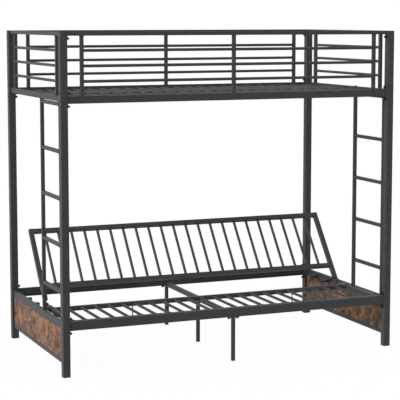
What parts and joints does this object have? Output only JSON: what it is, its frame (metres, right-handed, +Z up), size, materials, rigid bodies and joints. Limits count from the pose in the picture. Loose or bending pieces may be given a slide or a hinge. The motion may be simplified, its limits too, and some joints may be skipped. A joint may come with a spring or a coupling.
{
  "type": "metal bunk bed",
  "caption": "Metal bunk bed with guard rails all round, a ladder in each end, a slatted upper deck and a lower futon whose slatted backrest folds down flat.",
  "frame": {"origin": "on the floor, at the middle of the bed's outline", "axes": "+X along the bed to its right end, +Y from the open front to the back, +Z up"},
  "size_m": [1.98, 1.06, 1.825],
  "materials": {
    "charcoal_steel": "satin charcoal powder coat",
    "black_plastic": "moulded black plastic",
    "rustic_wood": "rustic brown wood-grain board",
    "black_bolt": "black bolt"
  },
  "bodies": {
    "bed_frame": {"centre_beam": "charcoal_steel", "centre_leg_back": "charcoal_steel", "centre_leg_front": "charcoal_steel", "centre_leg_middle": "charcoal_steel", "crossbar_left": "charcoal_steel", "crossbar_right": "charcoal_steel", "deck_end_rail_left": "charcoal_steel", "deck_end_rail_right": "charcoal_steel", "deck_side_rail_back": "charcoal_steel", "deck_side_rail_front": "charcoal_steel", "end_panel_left": "rustic_wood", "end_panel_right": "rustic_wood", "foot_back_left": "black_plastic", "foot_back_right": "black_plastic", "foot_front_left": "black_plastic", "foot_front_right": "black_plastic", "guard_back": "charcoal_steel", "guard_front": "charcoal_steel", "guard_left": "charcoal_steel", "guard_right": "charcoal_steel", "hinge_bracket_left": "charcoal_steel", "hinge_bracket_right": "charcoal_steel", "ladder_left_back_tube": "charcoal_steel", "ladder_left_front_tube": "charcoal_steel", "ladder_left_rung_1": "charcoal_steel", "ladder_left_rung_2": "charcoal_steel", "ladder_left_rung_3": "charcoal_steel", "ladder_left_rung_4": "charcoal_steel", "ladder_left_rung_5": "charcoal_steel", "ladder_right_back_tube": "charcoal_steel", "ladder_right_front_tube": "charcoal_steel", "ladder_right_rung_1": "charcoal_steel", "ladder_right_rung_2": "charcoal_steel", "ladder_right_rung_3": "charcoal_steel", "ladder_right_rung_4": "charcoal_steel", "ladder_right_rung_5": "charcoal_steel", "leg_foot_back": "black_plastic", "leg_foot_front": "black_plastic", "leg_foot_middle": "black_plastic", "lower_end_rail_left": "charcoal_steel", "lower_end_rail_right": "charcoal_steel", "lower_side_rail_back": "charcoal_steel", "lower_side_rail_front": "charcoal_steel", "pivot_bolt_left": "black_bolt", "pivot_bolt_right": "black_bolt", "post_back_left": "charcoal_steel", "post_back_right": "charcoal_steel", "post_front_left": "charcoal_steel", "post_front_right": "charcoal_steel", "seat_frame": "charcoal_steel", "top_end_rail_left": "charcoal_steel", "top_end_rail_right": "charcoal_steel", "top_side_rail_back": "charcoal_steel", "top_side_rail_front": "charcoal_steel", "upper_deck": "charcoal_steel", "wire_loop_left": "charcoal_steel", "wire_loop_right": "charcoal_steel"},
    "backrest": {"backrest_frame": "charcoal_steel", "backrest_arm_left": "charcoal_steel", "backrest_arm_right": "charcoal_steel"}
  },
  "joints": [
    {"name": "backrest_fold", "type": "hinge", "parent": "bed_frame", "child": "backrest", "pos_m": [0, 0, 0.2937], "axis": [-1, 0, 0], "range_deg": [-8, 51.83]}
  ]
}
